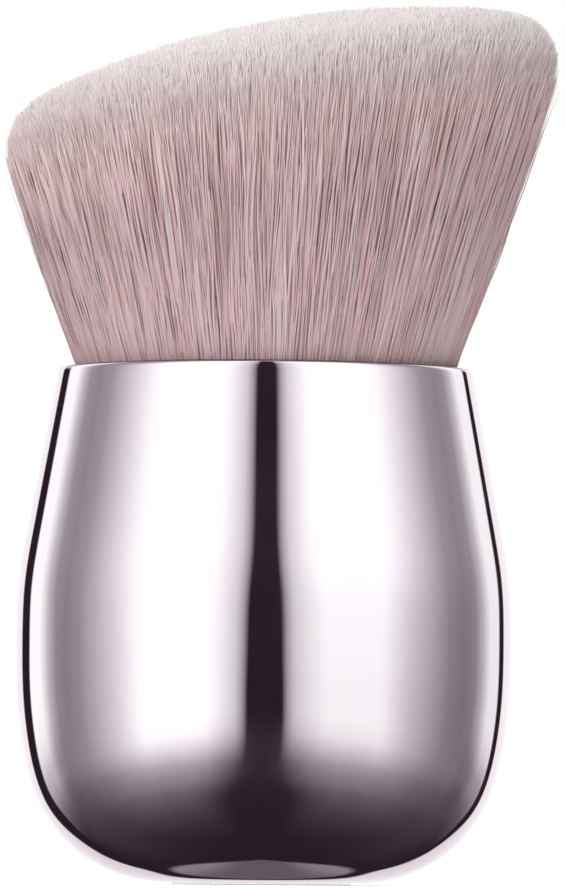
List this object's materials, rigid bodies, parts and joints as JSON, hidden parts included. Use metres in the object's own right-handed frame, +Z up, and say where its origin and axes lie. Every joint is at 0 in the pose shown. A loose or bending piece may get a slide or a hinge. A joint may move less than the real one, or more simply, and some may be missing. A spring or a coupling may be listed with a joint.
{
  "type": "kabuki makeup brush",
  "caption": "Short kabuki makeup brush: a mirror-finished rounded metal handle with a tapered neck and a dense bristle head that fans out to a slanted, softly domed cut.",
  "frame": {"origin": "centre of the standing face, the underside of the disc in the handle's base", "axes": "+Z up along the handle's axis to the bristle head, +X towards the higher side of the slanted cut, +Y the depth away from the viewer"},
  "size_m": [0.0548, 0.0548, 0.0878],
  "materials": {
    "shell_metal": "polished",
    "foot_plastic": "satin",
    "core_plastic": "matte",
    "weight_steel": "satin",
    "adhesive": "gloss",
    "ferrule_metal": "satin",
    "binding_thread": "matte",
    "bristle_fibre": "satin"
  },
  "bodies": {
    "root": {"handle_shell": "shell_metal", "foot_disc": "foot_plastic", "handle_core": "core_plastic", "weight_slug": "weight_steel", "floor_bond": "adhesive", "neck_bond": "adhesive", "socket_bond": "adhesive", "ferrule_cup": "ferrule_metal", "root_plug": "adhesive", "root_binding": "binding_thread", "bristle_bundle": "bristle_fibre"}
  },
  "joints": []
}
